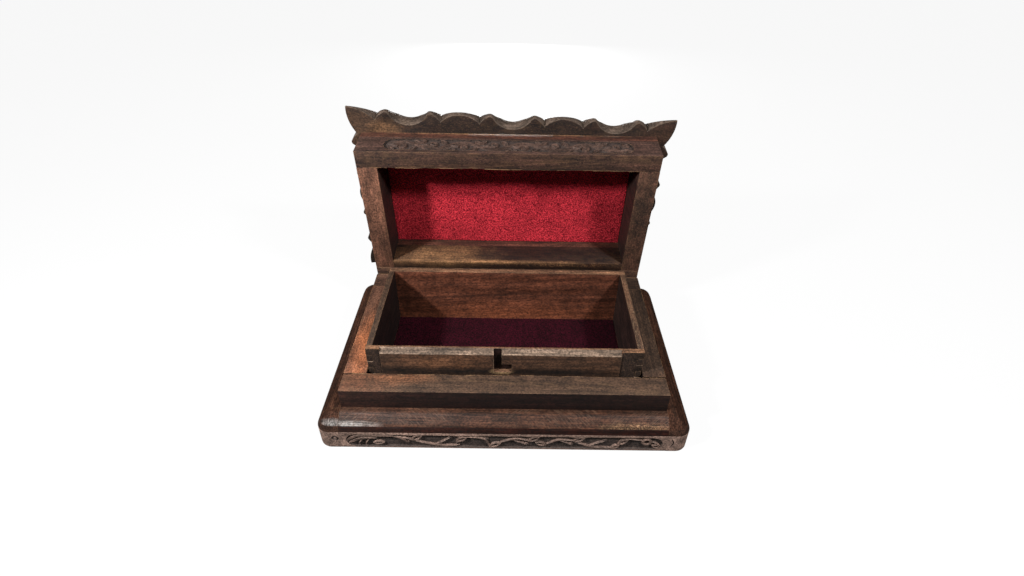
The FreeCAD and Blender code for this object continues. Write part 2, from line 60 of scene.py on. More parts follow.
# Main sizes read from the model
PLINTH_LOW, PLINTH_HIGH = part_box("plinth_front_moulding")
PLINTH_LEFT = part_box("plinth_left_moulding")[0].x
PLINTH_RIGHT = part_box("plinth_right_moulding")[1].x
CASE_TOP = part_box("case_front_wall")[1].z
LINER_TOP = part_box("liner_back_wall")[1].z
LINER_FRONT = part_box("liner_front_wall")[0].y
CARVING_DEPTH = 1.2 * MM
MOTIF_TOP = 0.98 * CARVING_DEPTH
PLINTH_FACE_TOP = 12.9 * MM
NOSE_TOP = 16.1 * MM
NOSE_FOOT = 12.7 * MM
STRAKE_LOW = 16.6 * MM
NEAR = 0.05 * MM
SHARP = math.radians(30)


def in_mm(*values):
    return tuple(value * MM for value in values)


def on_lid(point):
    """A point in the lid's own measure, from the hinge line with the lid shut."""
    return SHUT @ point


def lid_normal(normal):
    return LID_TURN.inverted() @ normal


def lid_box(name):
    """A lid piece's corners in the lid's own measure."""
    places = [on_lid(vertex.co) for vertex in nodes[name].data.vertices]
    return [Vector([pick(place[i] for place in places) for i in range(3)]) for pick in (min, max)]


LID_LOW, LID_HIGH = lid_box("lid_front_wall")
LID_FRONT = -LID_LOW.y
LID_HALF = LID_HIGH.x
LID_MIDDLE = (LID_LOW.y + lid_box("lid_back_wall")[1].y) / 2
PLATE_TOP = lid_box("lid_top_plate")[1].z


# Small tools for working on one piece at a time
def only(piece):
    """Select one piece and nothing else."""
    if bpy.context.object and bpy.context.object.mode != "OBJECT":
        bpy.ops.object.mode_set(mode="OBJECT")
    bpy.ops.object.select_all(action="DESELECT")
    piece.select_set(True)
    bpy.context.view_layer.objects.active = piece


def edit(piece, select="SELECT", kind="VERT"):
    only(piece)
    bpy.ops.object.mode_set(mode="EDIT")
    bpy.ops.mesh.select_mode(type=kind)
    bpy.ops.mesh.select_all(action=select)


def done():
    bpy.ops.object.mode_set(mode="OBJECT")


def fresh(add, **settings):
    """Add one new shape with nothing else selected, and hand it over."""
    bpy.ops.object.select_all(action="DESELECT")
    add(**settings)
    return bpy.context.object


def named(piece, name):
    piece.name = name
    piece.data.name = name


def apply_modifier(piece, kind, **settings):
    only(piece)
    modifier = piece.modifiers.new(kind.lower(), kind)
    for key, value in settings.items():
        setattr(modifier, key, value)
    bpy.ops.object.modifier_apply(modifier=modifier.name)


def smooth(piece, degrees=35):
    only(piece)
    bpy.ops.object.shade_smooth_by_angle(angle=math.radians(degrees))


def joined(parts, name):
    """Join several parts into one named piece at the origin."""
    only(parts[0])
    for part in parts[1:]:
        part.select_set(True)
    bpy.ops.object.join()
    piece = bpy.context.object
    bpy.ops.object.transform_apply(location=True, rotation=True, scale=True)
    named(piece, name)
    return piece


def own_copy(name):
    """A piece of the scene's own that starts as a merged copy of a solid."""
    piece = nodes[name].copy()
    piece.data = nodes[name].data.copy()
    for key in list(piece.keys()):
        del piece[key]
    piece.parent = None
    named(piece, name + "_wood")
    scene.collection.objects.link(piece)
    piece.data.materials.clear()
    edit(piece)
    bpy.ops.mesh.remove_doubles(threshold=0.002 * MM)
    bpy.ops.mesh.customdata_custom_splitnormals_clear()
    bpy.ops.mesh.dissolve_limited(angle_limit=math.radians(0.5))
    done()
    return piece


def pick_edges(piece, wanted):
    """Open a piece for editing with just the edges picked whose two ends pass a test."""
    edit(piece, "DESELECT", "EDGE")
    done()
    mesh = piece.data
    for line in mesh.edges:
        line.select = bool(wanted(*[mesh.vertices[i].co for i in line.vertices]))
    bpy.ops.object.mode_set(mode="EDIT")


def round_over(width, segments):
    """Bevel the picked edges of the piece that is open, and close it."""
    bpy.ops.mesh.bevel(offset=width, offset_type="OFFSET", segments=segments, affect="EDGES",
                       clamp_overlap=True)
    done()


def ease_edges(piece, width, leave=None, least=0.0):
    """Round the sharp edges over, all but the shortest and those that lie where they are to be left."""
    edit(piece, "DESELECT", "EDGE")
    bpy.ops.mesh.edges_select_sharp(sharpness=SHARP)
    done()
    mesh = piece.data
    keen = [line.select for line in mesh.edges]
    edit(piece, "DESELECT", "EDGE")
    done()
    for line, sharp in zip(mesh.edges, keen):
        ends = [mesh.vertices[i].co for i in line.vertices]
        left = leave and all(leave(end) for end in ends)
        line.select = bool(sharp and not left and (ends[0] - ends[1]).length > least)
    bpy.ops.object.mode_set(mode="EDIT")
    round_over(width, 2)


def chipped(piece, wanted, cuts, push):
    """Split some edges finely and knock their points in by uneven amounts."""
    pick_edges(piece, wanted)
    bpy.ops.mesh.subdivide(number_cuts=cuts)
    done()
    for vertex in piece.data.vertices:
        if vertex.select:
            broad = hills.noise(vertex.co * 70)
            fine = hills.noise(vertex.co * 420)
            vertex.co += Vector(push) * max(0, 0.25 + 0.9 * broad + 0.7 * fine)


def wavy_field(piece, field, low, high, sway=0.6 * MM, turn=6 * MM):
    """Round the ends of a sunk field, let its long margins wander, and lay the face round it anew."""
    flat = field.inverted()
    near = 0.03 * MM
    half = ((high[0] - low[0]) / 2, (high[1] - low[1]) / 2)
    middle = ((high[0] + low[0]) / 2, (high[1] + low[1]) / 2)
    deepest = CARVING_DEPTH + near

    def on_side(place, axis):
        other = 1 - axis
        at_side = abs(abs(place[axis] - middle[axis]) - half[axis]) < near
        beside = abs(place[other] - middle[other]) < half[other] + near
        return at_side and beside and -near < place.z < deepest

    def one_side(axis, sign):
        """A test for the edges along one side of the field."""
        def wanted(first, second):
            first, second = flat @ first, flat @ second
            along = on_side(first, axis) and on_side(second, axis)
            this_side = (first[axis] - middle[axis]) * sign > 0
            level = abs(first[axis] - second[axis]) < near
            return along and this_side and level and abs(first[1 - axis] - second[1 - axis]) > 5 * near
        return wanted

    end_cuts, margin_cuts = 14, 110
    short_wave, long_wave, fade_run = in_mm(2.1, 5.3, 4)
    for axis, cuts in ((0, end_cuts), (1, margin_cuts)):
        for sign in (-1, 1):
            pick_edges(piece, one_side(axis, sign))
            bpy.ops.mesh.subdivide(number_cuts=cuts)
            done()
    mouth = set()
    for vertex in piece.data.vertices:
        place = flat @ vertex.co
        across, up = place.x - middle[0], place.y - middle[1]
        if on_side(place, 1):
            across *= (half[0] - turn) / half[0]
            fade = min(1.0, (half[0] - turn - abs(across)) / fade_run)
            wander = 0.5 + 0.5 * math.sin(across / short_wave + math.copysign(1.0, up))
            wander *= 0.6 + 0.4 * math.sin(across / long_wave)
            up -= math.copysign(sway * fade * wander, up)
        elif on_side(place, 0):
            level = min(1.0, abs(up) / half[1])
            across -= math.copysign(turn * (1 - math.sqrt(1 - level * level)), across)
        else:
            continue
        vertex.co = field @ Vector((across + middle[0], up + middle[1], place.z))
        if place.z > CARVING_DEPTH - near:
            mouth.add(vertex.index)
    edit(piece, "DESELECT", "FACE")
    done()
    for face in piece.data.polygons:
        places = [flat @ piece.data.vertices[i].co for i in face.vertices]
        level = all(abs(place.z - CARVING_DEPTH) < near for place in places)
        face.select = level and any(i in mouth for i in face.vertices)
    bpy.ops.object.mode_set(mode="EDIT")
    bpy.ops.mesh.delete(type="FACE")
    bpy.ops.mesh.select_mode(type="EDGE")
    bpy.ops.mesh.select_non_manifold(extend=False, use_wire=False, use_boundary=True, use_multi_face=False,
                                     use_non_contiguous=False, use_verts=False)
    bpy.ops.mesh.fill(use_beauty=True)
    bpy.ops.mesh.select_all(action="SELECT")
    bpy.ops.mesh.normals_make_consistent(inside=False)
    done()


def finish_faces(piece, rules):
    """Give each face the finish of the last rule that it meets: a test of its middle and normal."""
    for material, test in rules:
        piece.data.materials.append(material)
        slot = len(piece.data.materials) - 1
        for face in piece.data.polygons:
            if test is None or test(face.center, face.normal):
                face.material_index = slot


# Shader building
def feed(tree, socket, value):
    """Link a socket to another one, or set its value."""
    if isinstance(value, bpy.types.NodeSocket):
        tree.links.new(value, socket)
    else:
        socket.default_value = value


def feed_all(tree, shader, values):
    for name, value in values.items():
        feed(tree, shader.inputs[name], value)


def node(tree, kind, settings=None, **sockets):
    made = tree.nodes.new(kind)
    for key, value in (settings or {}).items():
        setattr(made, key, value)
    feed_all(tree, made, sockets)
    return made


def vectors(tree, operation, *values):
    made = node(tree, "ShaderNodeVectorMath", {"operation": operation})
    for socket, value in zip(made.inputs, values):
        feed(tree, socket, value)
    return made.outputs


def blended(tree, factor, first, second, output):
    """Send a blend of two shaders to an output."""
    blend = node(tree, "ShaderNodeMixShader")
    for socket, value in zip(blend.inputs, (factor, first.outputs[0], second.outputs[0])):
        feed(tree, socket, value)
    feed(tree, tree.nodes[output].inputs["Surface"], blend.outputs[0])


def mix(tree, factor, first, second, blend="MIX"):
    """Mix two colours or colour sockets by a factor."""
    made = node(tree, "ShaderNodeMix", {"data_type": "RGBA", "blend_type": blend, "clamp_factor": True})
    for i, value in ((0, factor), (6, first), (7, second)):
        feed(tree, made.inputs[i], value)
    return made.outputs[2]


def ramp(tree, factor, stops):
    made = node(tree, "ShaderNodeValToRGB", Fac=factor)
    elements = made.color_ramp.elements
    while len(elements) < len(stops):
        elements.new(0.5)
    for element, (place, colour) in zip(elements, stops):
        element.position = place
        element.color = colour if len(colour) == 4 else (*colour, 1)
    return made.outputs["Color"]


def grey(value):
    return (value, value, value, 1)


def sums(tree, operation, first, second):
    made = node(tree, "ShaderNodeMath", {"operation": operation})
    for socket, value in zip(made.inputs, (first, second)):
        feed(tree, socket, value)
    return made.outputs[0]


def new_shader(name):
    material = bpy.data.materials.new(name)
    material.use_nodes = True
    tree = material.node_tree
    return material, tree, tree.nodes["Principled BSDF"]


def noise(tree, vector, scale, detail, rough=0.55, distortion=0.0):
    made = node(tree, "ShaderNodeTexNoise", Vector=vector, Scale=scale, Detail=detail, Roughness=rough,
                Distortion=distortion)
    return made.outputs[0]


def stretched(tree, turn, shift, scale):
    """Object coordinates turned so that X runs with the grain, moved, then stretched."""
    coordinates = node(tree, "ShaderNodeTexCoord").outputs["Object"]
    turned = node(tree, "ShaderNodeMapping", Vector=coordinates, Rotation=turn, Location=shift)
    return node(tree, "ShaderNodeMapping", Vector=turned.outputs[0], Scale=scale).outputs[0]


def spread(tree, *scale):
    """Object coordinates as they are, stretched."""
    return stretched(tree, (0, 0, 0), (0, 0, 0), scale)


GRAIN_X = (0, 0, 0)
GRAIN_SLANT = (0, math.radians(4), 0)
GRAIN_Y = (0, 0, math.radians(-90))
GRAIN_LID_DEPTH = (0, math.radians(90), 0)


def edge_mask(tree, radius):
    """Nought on the flat and rising to one over a sharp edge."""
    rounded = node(tree, "ShaderNodeBevel", {"samples": 4}, Radius=radius).outputs[0]
    flat = node(tree, "ShaderNodeNewGeometry").outputs["True Normal"]
    return sums(tree, "SUBTRACT", 1.0, vectors(tree, "DOT_PRODUCT", rounded, flat)["Value"])


def spot(tree, colour, place, size, tint, strength, specks=0):
    """Tint a colour about a place, raggedly, and in fine specks if a scale for them is given."""
    here = node(tree, "ShaderNodeTexCoord").outputs["Object"]
    offset = vectors(tree, "SUBTRACT", here, in_mm(*place))[0]
    shrunk = vectors(tree, "DIVIDE", offset, in_mm(*size))[0]
    far = vectors(tree, "LENGTH", shrunk)["Value"]
    ragged = sums(tree, "MULTIPLY", noise(tree, here, 130.0, 5.0, 0.7), 1.1)
    reach = sums(tree, "ADD", far, ragged)
    amount = ramp(tree, sums(tree, "MULTIPLY", reach, 0.6), [(0.38, grey(strength)), (0.96, grey(0))])
    if specks:
        dots = ramp(tree, noise(tree, here, specks, 2.0, 0.7), [(0.46, grey(0)), (0.58, grey(1))])
        amount = mix(tree, 1.0, amount, dots, "MULTIPLY")
    return mix(tree, amount, colour, (*tint, 1))


def rosewood(name, tone, grain, shift, rough, wear, pale=(0.3, 0.17, 0.085), dust=0.0, scratches=0.0,
             spots=(), shine=0.35, streaky=1.0):
    """Dark open-grained wood: bands, streaks and pores along the grain, specks, and pale worn edges."""
    material, tree, bsdf = new_shader(name)

    def figure(along, across, *settings):
        """Noise drawn out along the grain."""
        return noise(tree, stretched(tree, grain, shift, (along, across, across)), 1.0, *settings)

    dark, middle, light = [tuple(part * value for value in tone) for part in (0.5, 1.0, 1.5)]
    bands = figure(9, 230, 6.0, 0.62, 0.35)
    colour = ramp(tree, bands, [(0.3, dark), (0.5, middle), (0.72, light)])
    for tint in spots:
        colour = spot(tree, colour, *tint)
    streaks = figure(22, 640, 3.0, 0.6)
    fine = figure(70, 1900, 3.0, 0.6)
    blotches = figure(80, 130, 6.0, 0.68)
    specks = figure(800, 1150, 2.0, 0.7)
    for pattern, (low, dark), (high, light) in (
            (streaks, (0.32, 1 - 0.42 * streaky), (0.6, 1 + 0.16 * streaky)),
            (fine, (0.36, 1 - 0.5 * streaky), (0.62, 1 + 0.2 * streaky)),
            (blotches, (0.36, 0.6), (0.64, 1.36)),
            (specks, (0.38, 0.5), (0.62, 1.5))):
        shade = ramp(tree, pattern, [(low, grey(dark)), (high, grey(light))])
        colour = mix(tree, 1.0, colour, shade, "MULTIPLY")
    if dust:
        grains = figure(900, 1300, 2.0, 0.75)
        laid_on = ramp(tree, grains, [(0.54, grey(0)), (0.7, grey(dust))])
        colour = mix(tree, laid_on, colour, (*pale, 1))
    if scratches:
        patch = figure(24, 50, 2.0)
        for turn, few, many in ((38, 0.5, 0.62), (-34, 0.48, 0.38)):
            where = ramp(tree, patch, sorted([(few, grey(0)), (many, grey(scratches))]))
            slanted = stretched(tree, (0, 0, math.radians(turn)), shift, (190, 2600, 300))
            scored = noise(tree, slanted, 1.0, 1.0)
            line = ramp(tree, scored, [(0.5, grey(0)), (0.66, grey(1))])
            colour = mix(tree, mix(tree, 1.0, line, where, "MULTIPLY"), colour, (0.17, 0.1, 0.065, 1))
    if wear:
        rub = figure(150, 260, 4.0, 0.65)
        rub = ramp(tree, rub, [(0.42, grey(0)), (0.62, grey(1))])
        worn = sums(tree, "MULTIPLY", edge_mask(tree, 0.7 * MM), 6.0 * wear)
        colour = mix(tree, sums(tree, "MULTIPLY", worn, rub), colour, (*pale, 1))
    gloss = ramp(tree, fine, [(0.3, grey(min(rough + 0.18, 1))), (0.65, grey(rough))])
    height = sums(tree, "ADD", sums(tree, "ADD", fine, streaks), sums(tree, "MULTIPLY", specks, 0.7))
    bump = node(tree, "ShaderNodeBump", Height=height, Strength=0.55, Distance=0.15 * MM)
    feed_all(tree, bsdf, {"Base Color": colour, "Roughness": gloss, "Normal": bump.outputs[0],
                          "Specular IOR Level": shine})
    return material


def punched_ground(name, deep, high, dusty):
    """The sunk ground of the carving: dark, dusty, struck all over in close rows."""
    material, tree, bsdf = new_shader(name)
    struck = node(tree, "ShaderNodeTexVoronoi", {"feature": "F1"}, Randomness=0.6,
                  Vector=spread(tree, 1150, 1150, 420), Scale=1.0).outputs["Distance"]
    dust = noise(tree, spread(tree, 300, 300, 300), 1.0, 4.0, 0.7)
    colour = ramp(tree, struck, [(0.15, deep), (0.6, high)])
    colour = mix(tree, ramp(tree, dust, [(0.55, grey(0)), (0.75, grey(dusty))]), colour, (*DUSTY, 1))
    bump = node(tree, "ShaderNodeBump", Height=struck, Strength=0.8, Distance=0.3 * MM)
    feed_all(tree, bsdf, {"Base Color": colour, "Roughness": 0.8, "Normal": bump.outputs[0]})
    return material


def velvet(name, deep, bright, sheen, pile=1500):
    """Short-piled velvet: speckled by its tufts, with a soft sheen."""
    material, tree, bsdf = new_shader(name)
    tufts = noise(tree, spread(tree, pile, pile, pile), 1.0, 2.0, 0.7)
    nap = noise(tree, spread(tree, 60, 60, 60), 1.0, 3.0, 0.6)
    colour = ramp(tree, tufts, [(0.4, deep), (0.6, bright)])
    colour = mix(tree, 1.0, colour, ramp(tree, nap, [(0.35, grey(0.75)), (0.65, grey(1.1))]), "MULTIPLY")
    bump = node(tree, "ShaderNodeBump", Height=tufts, Strength=0.9, Distance=0.5 * MM)
    feed_all(tree, bsdf, {"Base Color": colour, "Roughness": 0.95, "Normal": bump.outputs[0],
                          "Specular IOR Level": 0.1, "Sheen Weight": sheen, "Sheen Roughness": 0.4,
                          "Sheen Tint": (*bright, 1)})
    return material


def dull_brass(name):
    material, tree, bsdf = new_shader(name)
    tarnish = noise(tree, spread(tree, 700, 700, 700), 1.0, 4.0, 0.65)
    colour = ramp(tree, tarnish, [(0.35, (0.16, 0.1, 0.045)), (0.65, (0.5, 0.36, 0.16))])
    gloss = ramp(tree, tarnish, [(0.3, grey(0.6)), (0.7, grey(0.34))])
    feed_all(tree, bsdf, {"Base Color": colour, "Roughness": gloss, "Metallic": 1.0})
    return material


# Finishes, from the polished mouldings to the bare worn wood, with some light and shade painted into them
ORANGE = (0.27, 0.1, 0.04)
# SOOT_AND_SHADE: near black, for real soot, burn marks and stains, and for painted shade in the gaps and
# creases round the liner's foot
SOOT_AND_SHADE = (0.008, 0.005, 0.004)
DUSTY = (0.2, 0.15, 0.12)
# PAINTED_GLINT: a pale grey painted highlight, the left lamp's glint on the plinth's polished ridge
PAINTED_GLINT = (0.42, 0.4, 0.38)

left_corner = ((-84, -44, 33), (26, 16, 20), (0.155, 0.058, 0.028), 0.8)
# top_long: both its spots are painted highlights on the ridge, golden specks where the right lamp glints
# on the right part and a pale glint on the left part
top_long = rosewood(
    "top_long", (0.054, 0.0215, 0.0118), GRAIN_X, (0.31, 0.05, 0.0), 0.5, 0.1,
    scratches=0.35, shine=0.22, streaky=1.2,
    spots=[((72, -58.6, 16.9), (26, 3, 2.6), (0.45, 0.28, 0.14), 0.6, 1800.0),
           ((-83, -58.9, 16.8), (17, 2.6, 2.4), PAINTED_GLINT, 0.75)])
# top_side: its spot at the left front corner is a painted highlight on the corner block's ridge
top_side = rosewood(
    "top_side", (0.054, 0.0225, 0.0128), GRAIN_Y, (0.12, 0.45, 0.2), 0.65, 0.1,
    shine=0.1, streaky=1.2, spots=[((-94, -57.5, 16.6), (7, 5, 2.2), PAINTED_GLINT, 0.6)])
nose_long = rosewood("nose_long", (0.017, 0.0043, 0.0024), GRAIN_X, (0.22, 0.6, 0.3), 0.34, 0.1, shine=0.4)
nose_side = rosewood("nose_side", (0.041, 0.019, 0.012), GRAIN_Y, (0.6, 0.12, 0.3), 0.5, 0.1, shine=0.2)
stained_long = rosewood(
    "stained_long", (0.0128, 0.0044, 0.0033), GRAIN_X, (0.7, 0.2, 0.1), 0.5, 0.15,
    spots=[((-82, -50, 26), (30, 12, 22), (0.04, 0.0145, 0.01), 0.7)])
# stained_and_shaded_side: a real dark stain on the case's sides and the plinth's seams, and painted shade
# on the inside of the liner's left wall
stained_and_shaded_side = rosewood("stained_and_shaded_side", (0.011, 0.0048, 0.004), GRAIN_Y, (0.5, 0.1, 0.3), 0.5, 0.15)
shelf_long = rosewood(
    "shelf_long", (0.061, 0.0325, 0.019), GRAIN_X, (0.15, 0.33, 0.41), 0.62, 0.6,
    spots=[left_corner, ((-58, -40, 33), (24, 6, 5), ORANGE, 0.5),
           ((-84, 44, 33), (14, 12, 8), (0.13, 0.06, 0.038), 0.85),
           ((84, 44, 33), (14, 12, 8), (0.045, 0.024, 0.015), 0.9)], streaky=0.55)
shelf_dark = rosewood(
    "shelf_dark", (0.054, 0.0295, 0.0175), GRAIN_Y, (0.62, 0.13, 0.07), 0.62, 0.5,
    spots=[((88, -42, 33), (14, 10, 8), (0.17, 0.08, 0.045), 0.5, 900.0)], streaky=0.5)
shelf_red = rosewood(
    "shelf_red", (0.17, 0.077, 0.046), GRAIN_Y, (0.27, 0.3, 0.11), 0.6, 0.6,
    (0.4, 0.2, 0.09), streaky=0.4,
    spots=[left_corner, ((-83, -14, 33), (9, 32, 8), (0.5, 0.165, 0.064), 0.85),
           ((-84, 40, 33), (12, 14, 8), (0.13, 0.06, 0.038), 0.8)])
carved_long, carved_side, motif_long, motif_side = [
    rosewood(name, tone, grain, shift, 0.62, 0.3, DUSTY, streaky=0.3) for name, tone, grain, shift in (
        ("carved_long", (0.245, 0.157, 0.122), GRAIN_X, (0.9, 0.4, 0.2)),
        ("carved_side", (0.245, 0.157, 0.122), GRAIN_Y, (0.2, 0.8, 0.5)),
        ("motif_long", (0.145, 0.092, 0.071), GRAIN_X, (0.3, 0.6, 0.9)),
        ("motif_side", (0.145, 0.092, 0.071), GRAIN_Y, (0.6, 0.3, 0.1)))]
band_long = rosewood("band_long", (0.056, 0.028, 0.021), GRAIN_X, (0.4, 0.75, 0.15), 0.58, 0.4)
band_side = rosewood("band_side", (0.061, 0.031, 0.0235), GRAIN_LID_DEPTH, (0.8, 0.35, 0.6), 0.58, 0.4)
band_motif = rosewood(
    "band_motif", (0.08, 0.044, 0.032), GRAIN_X, (0.7, 0.05, 0.4), 0.58, 0.25,
    (0.16, 0.12, 0.1), streaky=0.4)
# strake_long: its spot is a painted highlight, a thin orange line along the top of the lid's front wall
# just below the plate
strake_long = rosewood(
    "strake_long", (0.072, 0.025, 0.0155), GRAIN_X, (0.1, 0.25, 0.35), 0.58, 0.5,
    spots=[((0, 61.6, 135.0), (85, 1.6, 1.6), (0.36, 0.19, 0.085), 0.8)])
rim_long = rosewood(
    "rim_long", (0.044, 0.0198, 0.0133), GRAIN_X, (0.3, 0.15, 0.55), 0.6, 0.9,
    (0.34, 0.18, 0.09), dust=0.2,
    spots=[((-84, 46, 128), (20, 20, 14), SOOT_AND_SHADE, 0.6), ((40, 42, 128), (16, 20, 6), SOOT_AND_SHADE, 0.45)])
rim_side = rosewood(
    "rim_side", (0.185, 0.078, 0.047), GRAIN_LID_DEPTH, (0.7, 0.15, 0.35), 0.6, 0.6,
    dust=0.2, spots=[((84, 45, 90), (26, 40, 90), (0.021, 0.0105, 0.007), 0.95),
                     ((-84, 45, 62), (14, 20, 16), SOOT_AND_SHADE, 0.5)], streaky=0.6)
strip_long = rosewood(
    "strip_long", (0.017, 0.0058, 0.0031), GRAIN_X, (0.55, 0.35, 0.25), 0.55, 0.5, (0.34, 0.17, 0.07),
    spots=[((-46, 54, 47), (42, 14, 8), (0.2, 0.1, 0.043), 0.8),
           ((-14, 56, 47), (16, 9, 6), SOOT_AND_SHADE, 0.7), ((52, 56, 47), (24, 14, 8), SOOT_AND_SHADE, 0.4),
           ((-20, 49, 46.2), (80, 3, 2), (0.3, 0.15, 0.065), 0.7),
           ((30, 49, 44.5), (60, 3, 2.5), (0.2, 0.1, 0.045), 0.6, 900.0)], streaky=0.7)
plate_long = rosewood(
    "plate_long", (0.0135, 0.0058, 0.0037), GRAIN_X, (0.05, 0.9, 0.45), 0.62, 0.45,
    dust=0.16, streaky=0.5,
    spots=[((-90, 62, 138), (22, 20, 20), (0.068, 0.034, 0.018), 0.9),
           ((-76, 62, 136), (12, 18, 10), (0.2, 0.1, 0.045), 0.7),
           ((94, 62, 136), (20, 20, 20), (0.046, 0.021, 0.0125), 0.8)])
top_plate_long = rosewood("top_plate_long", (0.085, 0.05, 0.035), GRAIN_X, (0.05, 0.2, 0.65), 0.45, 0.5)
warm_long = rosewood(
    "warm_long", (0.095, 0.03, 0.0155), GRAIN_SLANT, (0.05, 0.6, 0.35), 0.5, 0.3,
    spots=[((0, 33, 13), (90, 8, 14), (0.225, 0.066, 0.028), 0.7)], streaky=0.55)
warm_side = rosewood("warm_side", (0.02, 0.009, 0.007), GRAIN_Y, (0.35, 0.6, 0.8), 0.5, 0.3)
# face_long: the near-black spots low along the liner's front are painted shade, where the face runs down
# into the gap at the case's opening
face_long = rosewood(
    "face_long", (0.071, 0.034, 0.0187), GRAIN_X, (0.25, 0.5, 0.05), 0.6, 0.4, (0.3, 0.2, 0.13),
    spots=[((-26, -35, 34), (17, 6, 6), SOOT_AND_SHADE, 0.95), ((30, -35, 33.5), (26, 6, 4), SOOT_AND_SHADE, 0.9),
           ((-62, -35, 34), (22, 6, 5), SOOT_AND_SHADE, 0.95), ((-10, -35, 33.2), (90, 6, 3.2), SOOT_AND_SHADE, 0.9),
           ((-1.5, -34, 33.6), (8, 4, 2.6), (0.5, 0.31, 0.15), 1.0),
           ((-34, -35, 41), (30, 6, 7), (0.19, 0.08, 0.036), 0.6)], streaky=0.7)
bevel_long = rosewood(
    "bevel_long", (0.205, 0.138, 0.096), GRAIN_X, (0.45, 0.5, 0.75), 0.55, 0.3, (0.4, 0.3, 0.22))
# end_grain: its near-black spots are partly dark stains and partly painted shade of the gaps between the
# liner's ends and the case's opening
end_grain = rosewood(
    "end_grain", (0.03, 0.017, 0.012), GRAIN_Y, (0.9, 0.1, 0.25), 0.65, 0.4, dust=0.25,
    spots=[((73, -35, 43.5), (6, 3, 2.2), SOOT_AND_SHADE, 0.95), ((76, -35, 36), (4, 3, 4), SOOT_AND_SHADE, 0.9),
           ((-76, -35, 37), (4, 3, 5), SOOT_AND_SHADE, 0.8)])
bare_long = rosewood("bare_long", (0.17, 0.085, 0.045), GRAIN_X, (0.6, 0.9, 0.1), 0.6, 0.2)
bare_side = rosewood(
    "bare_side", (0.085, 0.043, 0.024), GRAIN_Y, (0.1, 0.6, 0.9), 0.6, 0.2, (0.36, 0.24, 0.14), dust=0.45)
olive_edge = rosewood(
    "olive_edge", (0.1, 0.07, 0.053), GRAIN_X, (0.4, 0.1, 0.7), 0.5, 0.3, (0.4, 0.3, 0.2),
    spots=[((-66, 70, 133), (18, 20, 8), (0.33, 0.2, 0.1), 0.6)], streaky=0.45)
ground = punched_ground("punched_ground", (0.012, 0.008, 0.007), (0.06, 0.039, 0.031), 0.35)
band_ground = punched_ground("band_ground", (0.005, 0.003, 0.0025), (0.045, 0.027, 0.021), 0.2)
crimson = velvet("crimson_velvet", (0.12, 0.004, 0.01), (0.8, 0.047, 0.067), 0.3, 1250)
# shaded_maroon: a deep maroon pile, darkened further as painted shade of the tray's floor
shaded_maroon = velvet("maroon_velvet", (0.003, 0.0003, 0.001), (0.042, 0.003, 0.009), 0.1)
brass = dull_brass("dull_brass")


# Sunk fields for the carving: a place on the box, and the field's corners on it
def field_on(origin, along, outward, inside=Matrix.Identity(4)):
    """A flat field: X along the face, Y up it and Z out of it."""
    along = Vector(along)
    outward = Vector(outward)
    upward = outward.cross(along)
    turn = Matrix((along, upward, outward)).transposed().to_4x4()
    return inside @ Matrix.Translation(origin) @ turn


PLATE_TURN = Matrix.Rotation(math.radians(1.7), 4, "Z")
PLINTH_SIDE = in_mm(-48, 0.9), in_mm(48, 11.4)
LID_SIDE = in_mm(-34, 2.4), in_mm(34, 14.8)
FIELDS = {
    "plinth_front": (field_on((0, PLINTH_LOW.y + CARVING_DEPTH, 0), (1, 0, 0), (0, -1, 0)),
                     in_mm(-87, 0.9), in_mm(88, 11.4)),
    "plinth_left": (field_on((PLINTH_LEFT + CARVING_DEPTH, 0, 0), (0, -1, 0), (-1, 0, 0)),
                    *PLINTH_SIDE),
    "plinth_right": (field_on((PLINTH_RIGHT - CARVING_DEPTH, 0, 0), (0, 1, 0), (1, 0, 0)),
                     *PLINTH_SIDE),
    "lid_front": (field_on((0, -LID_FRONT + CARVING_DEPTH, 0), (1, 0, 0), (0, -1, 0), LID),
                  in_mm(-74, 2.4), in_mm(74, 14.8)),
    "lid_left": (field_on((-LID_HALF + CARVING_DEPTH, LID_MIDDLE, 0), (0, -1, 0), (-1, 0, 0), LID),
                 *LID_SIDE),
    "lid_right": (field_on((LID_HALF - CARVING_DEPTH, LID_MIDDLE, 0), (0, 1, 0), (1, 0, 0), LID),
                  *LID_SIDE),
    "plate": (LID @ Matrix.Translation((0, LID_MIDDLE, PLATE_TOP - CARVING_DEPTH)) @ PLATE_TURN,
              in_mm(-74, -31), in_mm(74, 31)),
}


def in_field(name):
    """Tests for a field: whether a point lies on its rim, and whether a face is its ground."""
    if not name:
        return (lambda point: False), (lambda middle, normal: False)
    field, low, high = FIELDS[name]
    flat = field.inverted()

    def inside(place, spare):
        return low[0] - spare < place.x < high[0] + spare and low[1] - spare < place.y < high[1] + spare

    def on_rim(point):
        place = flat @ point
        at_edge = inside(place, NEAR) and not inside(place, -NEAR)
        return at_edge and -NEAR < place.z < CARVING_DEPTH + NEAR

    def sunk(middle, normal):
        place = flat @ middle
        return inside(place, NEAR) and -NEAR < place.z < 0.8 * CARVING_DEPTH

    return on_rim, sunk


# Wooden pieces, each on its own solid
def keep_piece(piece, node_name, body):
    smooth(piece)
    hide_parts(node_name)
    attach(piece, body)


def incised(piece, points, width):
    """Cut a shallow mark into the plinth's front through a few points on it, in millimetres."""
    mark = tube(points, width)
    mark.data.transform(field_on((0, PLINTH_LOW.y, 0), (1, 0, 0), (0, -1, 0)))
    apply_modifier(piece, "BOOLEAN", operation="DIFFERENCE", object=mark, solver="EXACT")
    bpy.data.objects.remove(mark)


def spiral(middle, radius, start, turns, shrink=0.3):
    """Points that wind in about a middle, in millimetres and degrees."""
    count = max(4, int(abs(turns) * 10))
    points = []
    for i in range(count + 1):
        part = i / count
        angle = math.radians(start) + 2 * math.pi * turns * part
        reach = radius * (1 - (1 - shrink) * part)
        points.append((middle[0] + reach * math.cos(angle), middle[1] + reach * math.sin(angle)))
    return points


